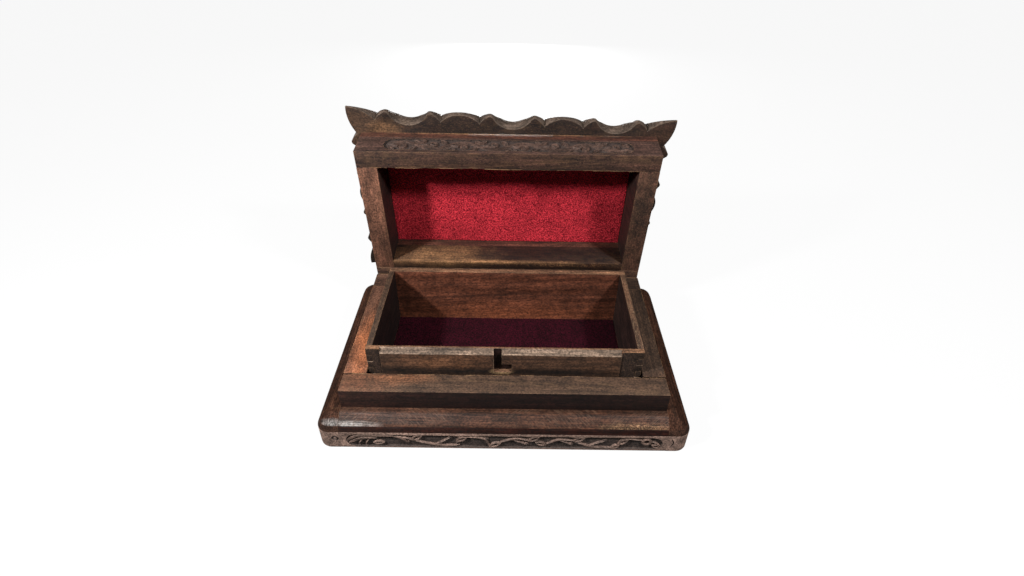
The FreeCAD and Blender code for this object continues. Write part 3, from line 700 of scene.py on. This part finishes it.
def plinth_mouldings():
    mouldings = (
        ("plinth_front_moulding", top_long, nose_long, carved_long, "plinth_front"),
        ("plinth_back_moulding", top_long, nose_long, nose_long, None),
        ("plinth_left_moulding", top_side, nose_side, carved_side, "plinth_left"),
        ("plinth_right_moulding", top_side, nose_side, carved_side, "plinth_right"),
        ("plinth_corner_block", top_side, nose_side, carved_side, None),
    )
    scroll, hook = (-93.2, 7.7), (93.4, 7.0)
    marks = {
        "plinth_corner_block": (scroll, spiral(scroll, 2.1, -70, 1.15)),
        "plinth_right_moulding": (hook, [(92.8, 9.8), (94.6, 7.0), (92.8, 4.2)]),
    }
    left_seam = PLINTH_LOW.x
    right_seam = PLINTH_HIGH.x
    block_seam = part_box("plinth_corner_block")[1].y
    case_front = -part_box("case_front_wall")[0].y
    at_seam = 0.3 * MM

    def level_line(height):
        """A test for the long level edges at a height, but not for those against the case."""
        def wanted(first, second):
            level = abs(first.z - height) < at_seam and abs(first.z - second.z) < NEAR
            top = height > PLINTH_HIGH.z - NEAR
            against = top and all(abs(end.x) < right_seam + NEAR and abs(end.y) < case_front + NEAR
                                  for end in (first, second))
            return level and not against and (not top or (first - second).length > 4.5 * MM)
        return wanted

    def nose(middle, normal):
        return normal.z < 0.62

    def seam(middle, normal):
        beside = abs(middle.y - block_seam) < at_seam and middle.x < left_seam
        before = abs(middle.x - left_seam) < at_seam and middle.y < 0
        return (beside or before) and middle.z > PLINTH_FACE_TOP

    def carved_face(middle, normal):
        return middle.z < PLINTH_FACE_TOP and abs(normal.z) < 0.5

    def deep_mark(place):
        """A test for the hollow of a mark about a place on the front."""
        def hollow(middle, normal):
            away = math.hypot(middle.x - place[0] * MM, middle.z - place[1] * MM)
            return away < 3.1 * MM and middle.y < PLINTH_LOW.y + CARVING_DEPTH and abs(normal.y) < 0.95
        return hollow

    for name, top, side, face, field in mouldings:
        piece = own_copy(name)
        on_rim, sunk = in_field(field)
        for height, width in ((PLINTH_HIGH.z, 1.2 * MM), (NOSE_TOP, 2.0 * MM), (NOSE_FOOT, 1.0 * MM)):
            pick_edges(piece, level_line(height))
            round_over(width, 4)
        ease_edges(piece, 0.25 * MM, lambda end: on_rim(end) or abs(end.x - right_seam) < NEAR)
        edit(piece)
        bpy.ops.mesh.bisect(plane_co=(0, 0, PLINTH_FACE_TOP), plane_no=(0, 0, 1))
        done()
        if field:
            wavy_field(piece, *FIELDS[field])
        for vertex in piece.data.vertices:
            place = vertex.co
            place.x = min(max(place.x, PLINTH_LEFT), PLINTH_RIGHT)
            place.y = min(max(place.y, PLINTH_LOW.y), -PLINTH_LOW.y)
            place.z = max(place.z, 0)
        rules = [(top, None), (side, nose), (face, carved_face), (ground, sunk)]
        if name in marks:
            place, line = marks[name]
            incised(piece, line, 1.2)
            rules.append((ground, deep_mark(place)))
        finish_faces(piece, rules + [(stained_and_shaded_side, seam)])
        keep_piece(piece, name, "base")


def case_walls():
    inner_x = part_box("case_right_wall")[0].x
    inner_y = abs(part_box("case_front_wall")[1].y)
    rear_shift = Vector(in_mm(0, 0.08, 0.1))

    def hinge_side(point):
        return point.y > HINGE.y - 0.2 * MM and point.z > CASE_TOP - NEAR

    def at_joint(point):
        return hinge_side(point) or (abs(abs(point.y) - inner_y) < NEAR and abs(point.x) > inner_x - NEAR)

    def top(middle, normal):
        return normal.z > 0.8

    def opening(first, second):
        at_front = all(abs(end.y + inner_y) < NEAR and abs(end.z - CASE_TOP) < NEAR
                       for end in (first, second))
        return at_front and abs(first.x - second.x) > NEAR

    finishes = {
        "case_front_wall": (stained_long, shelf_long),
        "case_back_wall": (stained_long, shelf_long),
        "case_left_wall": (stained_and_shaded_side, shelf_red),
        "case_right_wall": (stained_and_shaded_side, shelf_dark),
    }
    for name, (outside, above) in finishes.items():
        piece = own_copy(name)
        for vertex in piece.data.vertices:
            if hinge_side(vertex.co):
                vertex.co += rear_shift
        if name == "case_front_wall":
            chipped(piece, opening, 160, in_mm(0, -0.5, -0.5))
        ease_edges(piece, 0.4 * MM, at_joint, least=4 * MM)
        finish_faces(piece, [(outside, None), (above, top)])
        keep_piece(piece, name, "base")
    for name in ("bottom_board", "tray_floor_board"):
        piece = own_copy(name)
        ease_edges(piece, 0.15 * MM)
        finish_faces(piece, [(warm_long, None)])
        keep_piece(piece, name, "base")


def liner_walls():
    notch_left, notch_right, notch_low, step_top = in_mm(-7, 4.4, 33, 36.5)
    face_back = LINER_FRONT + 0.3 * MM

    def top(middle, normal):
        return middle.z > LINER_TOP - 0.4 * MM

    def front(middle, normal):
        return normal.y < -0.5 and middle.y < LINER_FRONT + 1 * MM

    def ends(middle, normal):
        return normal.y < -0.5 and face_back < middle.y < LINER_FRONT + 1 * MM

    def bevel(middle, normal):
        return normal.y < -0.3 and normal.z > 0.3

    def notch(middle, normal):
        inside = face_back < middle.y < LINER_FRONT + 2.6 * MM and notch_left < middle.x < notch_right
        return inside and middle.z > notch_low and not bevel(middle, normal)

    def notch_foot(middle, normal):
        return notch(middle, normal) and (middle.z < step_top or normal.z > 0.8)

    def by_notch(end):
        beside = notch_left < end.x < 5 * MM or end.z > LINER_TOP - 0.1 * MM
        return beside and end.y < LINER_FRONT + 2.8 * MM

    finishes = {
        "liner_front_wall": [(warm_long, None), (face_long, front), (end_grain, ends), (bare_long, top),
                             (bevel_long, bevel), (stained_long, notch), (bare_long, notch_foot)],
        "liner_back_wall": [(warm_long, None), (bare_long, top)],
        # the liner's left wall takes the dark side finish all over as painted shade
        "liner_left_wall": [(stained_and_shaded_side, None), (end_grain, front), (shelf_dark, top)],
        "liner_right_wall": [(warm_side, None), (end_grain, front), (bare_side, top)],
    }
    for name, rules in finishes.items():
        piece = own_copy(name)
        ease_edges(piece, 0.2 * MM, by_notch if name == "liner_front_wall" else None)
        finish_faces(piece, rules)
        keep_piece(piece, name, "base")


def lid_walls():
    def rim(middle, normal):
        return lid_normal(normal).z < -0.6

    def within(middle, normal):
        place, turned = on_lid(middle), lid_normal(normal)
        return turned.z > -0.6 and (place.x * turned.x < -0.5 * LID_HALF
                                    or (turned.y > 0.6 and place.y < 0.95 * LID_LOW.y + 8 * MM))

    def strake(middle, normal):
        return on_lid(middle).z > STRAKE_LOW and lid_normal(normal).y < -0.6

    def hinge_side(end):
        place = on_lid(end)
        return place.y > -0.2 * MM and place.z < 0.3 * MM

    def opening(first, second):
        ends = [on_lid(first), on_lid(second)]
        at_rim = all(abs(end.y - LID_HIGH.y) < NEAR and end.z < LID_LOW.z + NEAR for end in ends)
        return at_rim and abs(ends[0].x - ends[1].x) > NEAR

    finishes = {
        "lid_front_wall": (band_long, rim_long, "lid_front"),
        "lid_back_wall": (band_long, rim_long, None),
        "lid_back_strip": (strip_long, strip_long, None),
        "lid_left_wall": (band_side, rim_side, "lid_left"),
        "lid_right_wall": (band_side, rim_side, "lid_right"),
    }
    knock = LID_TURN @ Vector(in_mm(0, -0.45, 0.4))
    rear_shift = LID_TURN @ Vector(in_mm(0, 0.16, -0.075))
    for name, (outside, below, field) in finishes.items():
        piece = own_copy(name)
        on_rim, sunk = in_field(field)
        if name == "lid_front_wall":
            chipped(piece, opening, 140, knock)
        for vertex in piece.data.vertices:
            if hinge_side(vertex.co):
                vertex.co += rear_shift
        ease_edges(piece, 0.35 * MM, lambda end: on_rim(end) or hinge_side(end), least=4 * MM)
        edit(piece)
        bpy.ops.mesh.bisect(plane_co=LID @ Vector((0, 0, STRAKE_LOW)),
                            plane_no=LID_TURN @ Vector((0, 0, 1)))
        done()
        if field:
            wavy_field(piece, *FIELDS[field])
        finish_faces(piece, [(outside, None), (strake_long, strake), (warm_side, within), (below, rim),
                             (band_ground, sunk)])
        keep_piece(piece, name, "lid")


def top_plate():
    def edge(middle, normal):
        return abs(lid_normal(normal).z) < 0.9

    def above(middle, normal):
        return lid_normal(normal).z > 0.9

    on_rim, sunk = in_field("plate")
    piece = own_copy("lid_top_plate")
    ease_edges(piece, 0.3 * MM, on_rim)
    wavy_field(piece, *FIELDS["plate"], sway=1.2 * MM, turn=9 * MM)
    finish_faces(piece, [(plate_long, None), (olive_edge, edge), (top_plate_long, above), (ground, sunk)])
    keep_piece(piece, "lid_top_plate", "lid")


# Carving: leaves, buds and stems modelled flat, copied along a vine and laid into a sunk field
def almond_leaf():
    """A unit leaf along X, with a raised rim round a sunk slit."""
    leaf = fresh(bpy.ops.mesh.primitive_circle_add, vertices=22, radius=0.5, fill_type="NGON")
    for vertex in leaf.data.vertices:
        vertex.co.y *= 0.5 * (1 - 0.85 * abs(2 * vertex.co.x) ** 2.4)
    edit(leaf)
    for rise, shrink in ((1, (0.94, 0.86, 1)), (0, (0.82, 0.66, 1)), (-0.75, (0.88, 0.66, 1))):
        bpy.ops.mesh.extrude_region_move(TRANSFORM_OT_translate={"value": (0, 0, rise)})
        bpy.ops.transform.resize(value=shrink)
    done()
    return leaf


def round_bud():
    """A unit bud, domed and flat underneath."""
    bud = fresh(bpy.ops.mesh.primitive_uv_sphere_add, segments=14, ring_count=8, radius=0.5)
    edit(bud)
    bpy.ops.mesh.bisect(plane_co=(0, 0, 0), plane_no=(0, 0, 1), clear_inner=True, use_fill=True)
    bpy.ops.mesh.select_all(action="SELECT")
    bpy.ops.transform.resize(value=(1, 1, 2))
    done()
    return bud


def ring_flower():
    """A unit ring with a sunk eye."""
    ring = fresh(bpy.ops.mesh.primitive_torus_add, major_segments=20, minor_segments=8, major_radius=0.36,
                 minor_radius=0.14)
    edit(ring)
    bpy.ops.transform.resize(value=(1, 1, 3.5))
    bpy.ops.transform.translate(value=(0, 0, 0.45))
    done()
    return ring


def placed(pattern, u, v, length, tilt=0.0, width=None):
    """A copy of a unit motif on the flat, sized in millimetres."""
    copy = pattern.copy()
    copy.data = pattern.data.copy()
    scene.collection.objects.link(copy)
    size = Matrix.Diagonal((length * MM, (width or length) * MM, CARVING_DEPTH, 1))
    turn = Matrix.Rotation(math.radians(tilt), 4, "Z")
    copy.data.transform(Matrix.Translation((u * MM, v * MM, 0)) @ turn @ size)
    return copy


def tube(points, width):
    """A round bar through a few points on the flat, in millimetres, thinner at its ends."""
    path = fresh(bpy.ops.curve.primitive_nurbs_path_add)
    path.data.splines.clear()
    spline = path.data.splines.new("NURBS")
    spline.points.add(len(points) - 1)
    for i, (point, (u, v)) in enumerate(zip(spline.points, points)):
        point.co = (u * MM, v * MM, 0, 1)
        point.radius = 0.5 if i in (0, len(points) - 1) else 1.0
    spline.order_u = 3
    spline.use_endpoint_u = True
    path.data.bevel_depth = width * MM / 2
    path.data.bevel_resolution = 2
    path.data.resolution_u = 6
    path.data.use_fill_caps = True
    bpy.ops.object.convert(target="MESH")
    return bpy.context.object


def stem(points, width):
    """A flat-topped stem."""
    strip = tube(points, width)
    edit(strip)
    bpy.ops.transform.resize(value=(1, 1, 2.7 * CARVING_DEPTH / (width * MM)))
    bpy.ops.mesh.bisect(plane_co=(0, 0, 0), plane_no=(0, 0, 1), clear_inner=True, use_fill=True)
    bpy.ops.mesh.select_all(action="SELECT")
    bpy.ops.mesh.bisect(plane_co=(0, 0, MOTIF_TOP), plane_no=(0, 0, 1), clear_outer=True, use_fill=True)
    done()
    return strip


def laid(parts, name, field, body, material, below):
    """Join a field's motifs, lay them in their place and fix them to a body."""
    piece = joined(parts, name)
    edit(piece)
    bpy.ops.mesh.normals_make_consistent(inside=False)
    done()
    for vertex in piece.data.vertices:
        vertex.co.z = min(vertex.co.z, MOTIF_TOP)
    piece.data.materials.clear()
    finish_faces(piece, [(material, None), (below, lambda m, n: n.z > 0.7 and m.z < 0.7 * CARVING_DEPTH)])
    piece.data.transform(FIELDS[field][0])
    smooth(piece, 50)
    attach(piece, body)


def plinth_front_vine():
    """The vine on the plinth's front, as it runs there: stems, leaves and buds, in millimetres."""
    leaves = ((-69.2, 4.0, 6.6, 2), (-48.0, 8.7, 8.0, 33), (-23.4, 7.7, 7.6, 31), (-5.0, 3.1, 7.8, 27),
              (16.5, 8.6, 8.0, 33), (20.4, 4.6, 7.0, -18), (41.5, 8.7, 7.8, 30), (61.9, 2.8, 5.8, 30),
              (66.0, 7.2, 7.6, 40), (84.6, 3.4, 6.0, -24))
    buds = ((-53.3, 4.3), (-29.6, 8.9), (-25.6, 3.8), (-9.6, 7.9), (12.6, 3.5), (37.4, 3.9), (56.0, 7.6))
    trunks = (((-88.6, 2.6), (-86.4, 6.2), (-82.0, 9.6), (-74.0, 10.4), (-66.0, 9.6), (-59.0, 9.8)),
              ((-88.4, 1.4), (-84.6, 4.4), (-80.0, 7.4), (-73.0, 8.2), (-69.6, 7.6)),
              ((-63.0, 9.8), (-57.0, 9.0), (-54.2, 6.4), (-53.4, 3.8)))
    stems = (((-80.6, 2.0), (-80.2, 4.4), (-78.0, 6.4)),
             ((-76.6, 2.0), (-76.4, 4.2), (-74.4, 6.4)),
             ((-56.0, 8.6), (-52.6, 8.2), (-50.4, 6.6)),
             ((-50.2, 6.6), (-44.0, 4.2), (-37.0, 2.2), (-30.0, 1.8), (-24.6, 2.6)),
             ((-38.0, 2.6), (-33.6, 6.0), (-29.4, 8.8)),
             ((-20.8, 9.6), (-16.0, 9.8), (-12.0, 9.0), (-9.6, 7.4), (-9.2, 4.6), (-8.0, 2.0)),
             ((-2.2, 5.0), (3.0, 8.2), (9.0, 9.2), (13.6, 7.0)),
             ((4.0, 8.0), (8.5, 6.0), (13.0, 3.4)),
             ((23.6, 4.2), (26.5, 6.4), (31.5, 9.2), (38.6, 7.2)),
             ((29.0, 8.4), (34.0, 6.8), (38.0, 3.5)),
             ((38.2, 7.0), (44.0, 4.4), (49.5, 1.9), (56.0, 1.7), (60.6, 1.6)),
             ((47.0, 2.6), (51.0, 6.4), (56.6, 7.7)),
             ((68.4, 9.4), (72.0, 9.9), (76.8, 8.2)),
             ((81.6, 7.4), (85.2, 6.4), (87.6, 3.0)))
    parts = [placed(LEAF, *leaf[:3], tilt=leaf[3], width=leaf[2] * 0.95) for leaf in leaves]
    parts += [placed(BUD, u, v, 2.7) for u, v in buds]
    parts.append(placed(RING, 79.1, 7.0, 6.0))
    parts += [stem(points, 1.9) for points in trunks] + [stem(points, 1.0) for points in stems]
    laid(parts, "plinth_front_carving", "plinth_front", "base", motif_long, ground)


def running_vine(half, low, high, units):
    """A vine between two ends: each wave of the stem holds a curled tendril, a bud and three leaves."""
    leaves = ((0.16, -0.66, 0.3, 35), (0.86, -0.6, 0.3, -40), (0.98, 0.62, 0.28, 30))
    step = 2 * half / units
    middle = (low + high) / 2
    reach = (high - low) / 2
    waves = 6
    line = []
    for i in range(units * waves + 1):
        line.append((-half + i * step / waves, middle + 0.62 * reach * math.sin(math.pi * i / waves)))
    parts = [stem(line, 0.3 * reach)]
    for i in range(units):
        start = -half + i * step
        side = 1 if i % 2 == 0 else -1
        heart = (start + 0.5 * step, middle - side * 0.22 * reach)
        curl = [(start + 0.06 * step, middle + side * 0.15 * reach)]
        curl += spiral(heart, 0.56 * reach, 180, -side * 1.2, 0.25)
        parts.append(stem(curl, 0.24 * reach))
        parts.append(placed(BUD, *heart, 0.36 * reach))
        for across, up, length, tilt in leaves:
            parts.append(placed(LEAF, start + across * step, middle + side * up * reach, length * step,
                                tilt=-side * tilt, width=length * step * 1.1))
    return parts


def plate_spray():
    """A rosette with four curled arms, leaves and buds."""
    stems = (([(11, 3), (18, 3), (26, 12), (36, 20), (48, 17)] + spiral((44, 9), 9, 62, -1.3, 0.25), 2.6),
             ([(24, 10), (22, 18), (16, 24), (8, 24)] + spiral((9, 19), 5, 100, 0.9), 2.2),
             ([(50, 14), (58, 15), (64, 20), (62, 26), (55, 26)], 2.2),
             ([(53, 6), (60, 6), (66, 3), (70, 0)], 2.2))
    leaves = ((30, 22.5, 9, 62), (38, 25.5, 10, 25), (47, 24.5, 9, -20), (30, 7, 9, -35), (33, 1.8, 9, 12),
              (57, 10.5, 8, 20), (66, 12, 9, 65), (67, 24, 8, 40), (16, 11, 8, 55), (3.6, 26.5, 7, 10),
              (23, 27, 8, 10))
    buds = ((44, 9, 3.6), (9, 19, 3.2), (53, 26, 3.4), (25.5, 17.5, 2.6), (61.5, 21.5, 2.6))
    reach = 9.5
    parts = [placed(RING, 0, 0, 8.0), placed(BUD, 0, 0, 4.4)]
    for tilt in range(0, 360, 45):
        angle = math.radians(tilt)
        parts.append(placed(LEAF, reach * math.cos(angle), reach * math.sin(angle), 10.0, tilt, 10.5))
    for across in (-1, 1):
        for up in (-1, 1):
            for points, width in stems:
                parts.append(stem([(across * u, up * v) for u, v in points], width))
            for u, v, length, tilt in leaves:
                parts.append(placed(LEAF, across * u, up * v, length, across * up * tilt, length * 1.15))
            for u, v, size in buds:
                parts.append(placed(BUD, across * u, up * v, size))
    return parts


plinth_mouldings()
case_walls()
liner_walls()
lid_walls()
top_plate()
LEAF = almond_leaf()
BUD = round_bud()
RING = ring_flower()
plinth_front_vine()
for label in ("left", "right"):
    laid(running_vine(46, 1.0, 11.2, 8), "plinth_%s_carving" % label, "plinth_" + label, "base",
         motif_side, ground)
    laid(running_vine(32, 2.6, 14.6, 4), "lid_%s_carving" % label, "lid_" + label, "lid",
         band_motif, band_ground)
laid(running_vine(72, 2.6, 14.6, 8), "lid_front_carving", "lid_front", "lid", band_motif, band_ground)
laid(plate_spray(), "lid_top_carving", "plate", "lid", top_plate_long, ground)
for pattern in (LEAF, BUD, RING):
    bpy.data.objects.remove(pattern)


# Velvet: a thin sheet in the lid and one on the tray's floor
def velvet_sheet(name, size, field, cloth, body):
    piece = fresh(bpy.ops.mesh.primitive_grid_add, x_subdivisions=90, y_subdivisions=44, size=1)
    piece.data.transform(Matrix.Diagonal((size[0], size[1], 1, 1)))
    level, swell, droop, thickness = in_mm(0.4, 0.12, 0.25, 0.3)
    hem = 0.008
    for vertex in piece.data.vertices:
        u = vertex.co.x / size[0]
        v = vertex.co.y / size[1]
        wave = math.sin(9.0 * u + 4.0 * v) * math.cos(7.0 * v - 3.0 * u)
        rim = min(0.5 - abs(u), (0.5 - abs(v)) * size[1] / size[0])
        vertex.co.z = level + swell * wave - droop * max(0, 1 - rim / hem)
    apply_modifier(piece, "SOLIDIFY", thickness=thickness, offset=-1.0)
    piece.data.transform(field)
    piece.data.materials.append(cloth)
    named(piece, name)
    smooth(piece, 60)
    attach(piece, body)
    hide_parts(name.replace("_sheet", ""))


MARGIN = 0.2 * MM
tray_low, tray_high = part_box("tray_velvet")
tray_size = (tray_high.x - tray_low.x - 2 * MARGIN, tray_high.y - tray_low.y - 2 * MARGIN)
tray_middle = ((tray_low.x + tray_high.x) / 2, (tray_low.y + tray_high.y) / 2, tray_low.z)
# the tray's velvet is the darkened maroon, partly painted shade
velvet_sheet("tray_velvet_sheet", tray_size, field_on(tray_middle, (1, 0, 0), (0, 0, 1)), shaded_maroon,
             "base")
lid_low, lid_high = lid_box("lid_velvet")
lid_size = (lid_high.x - lid_low.x - 2 * MARGIN, lid_high.y - lid_low.y - 2 * MARGIN)
lid_middle = ((lid_low.x + lid_high.x) / 2, (lid_low.y + lid_high.y) / 2, lid_high.z)
velvet_sheet("lid_velvet_sheet", lid_size, field_on(lid_middle, (1, 0, 0), (0, 0, -1), LID), crimson,
             "lid")


# Hinges keep their solids and take a dull brass
for name, solid in nodes.items():
    if name.startswith("hinge_"):
        solid.data.materials.clear()
        solid.data.materials.append(brass)


# Stage, light and camera
def white_floor():
    """A pale floor that is white to the camera but for its shadow, and throws little light back."""
    thrown_back, pale, whiteness = 0.1, 0.85, 0.93
    floor = fresh(bpy.ops.mesh.primitive_plane_add, size=8, location=(0, 0, -0.1 * MM))
    floor.name = "floor"
    material, tree, bsdf = new_shader("pale_floor")
    seen = node(tree, "ShaderNodeLightPath").outputs["Is Camera Ray"]
    colour = mix(tree, seen, grey(thrown_back), grey(pale))
    feed_all(tree, bsdf, {"Base Color": colour, "Roughness": 0.9})
    glow = node(tree, "ShaderNodeEmission", Color=(1, 1, 1, 1), Strength=1.0)
    blended(tree, sums(tree, "MULTIPLY", seen, whiteness), bsdf, glow, "Material Output")
    floor.data.materials.append(material)


def white_world():
    room_light = 0.022
    world = bpy.data.worlds.new("white_room")
    scene.world = world
    world.use_nodes = True
    tree = world.node_tree
    room = tree.nodes["Background"]
    feed_all(tree, room, {"Color": (1, 1, 1, 1), "Strength": room_light})
    white = node(tree, "ShaderNodeBackground", Color=(1, 1, 1, 1), Strength=1.0)
    rays = node(tree, "ShaderNodeLightPath")
    seen = sums(tree, "MAXIMUM", rays.outputs["Is Camera Ray"], rays.outputs["Is Transmission Ray"])
    blended(tree, seen, room, white, "World Output")


def lamp(name, place, aim, power, size):
    data = bpy.data.lights.new(name, "AREA")
    data.energy = power
    data.size = size
    light = bpy.data.objects.new(name, data)
    scene.collection.objects.link(light)
    light.location = place
    light.rotation_euler = (Vector(aim) - Vector(place)).to_track_quat("-Z", "Y").to_euler()


def photo_camera():
    """The photograph's view, fitted to the box: focal length and centre in pixels, turn in degrees."""
    width, height = 1024, 576
    focal = 544.2
    centre_x, centre_y = 516.5, 220.2
    yaw, pitch, roll = 0.458, -33.413, 1.145
    place = in_mm(3.08, -244.5, 274.3)
    data = bpy.data.cameras.new("camera")
    data.sensor_width = 36
    data.lens = focal * data.sensor_width / width
    data.shift_x = (width / 2 - centre_x) / width
    data.shift_y = (centre_y - height / 2) / width
    data.clip_start = 0.01
    camera = bpy.data.objects.new("camera", data)
    scene.collection.objects.link(camera)
    turn = (Matrix.Rotation(math.radians(-yaw), 4, "Z") @ Matrix.Rotation(math.radians(90 + pitch), 4, "X")
            @ Matrix.Rotation(math.radians(roll), 4, "Z"))
    camera.matrix_world = Matrix.Translation(place) @ turn
    scene.camera = camera


white_floor()
white_world()
lamp("left_lamp", (-0.344, -0.204, 0.382), (-0.02, 0.03, 0.06), 3.4, 0.05)
lamp("right_lamp", (0.319, -0.24, 0.507), (0.02, 0.03, 0.06), 3.3, 0.06)
lamp("back_lamp", (0.0, 0.75, 0.07), (0.0, 0.07, 0.08), 4.0, 0.1)
photo_camera()
scene.view_settings.view_transform = "Standard"
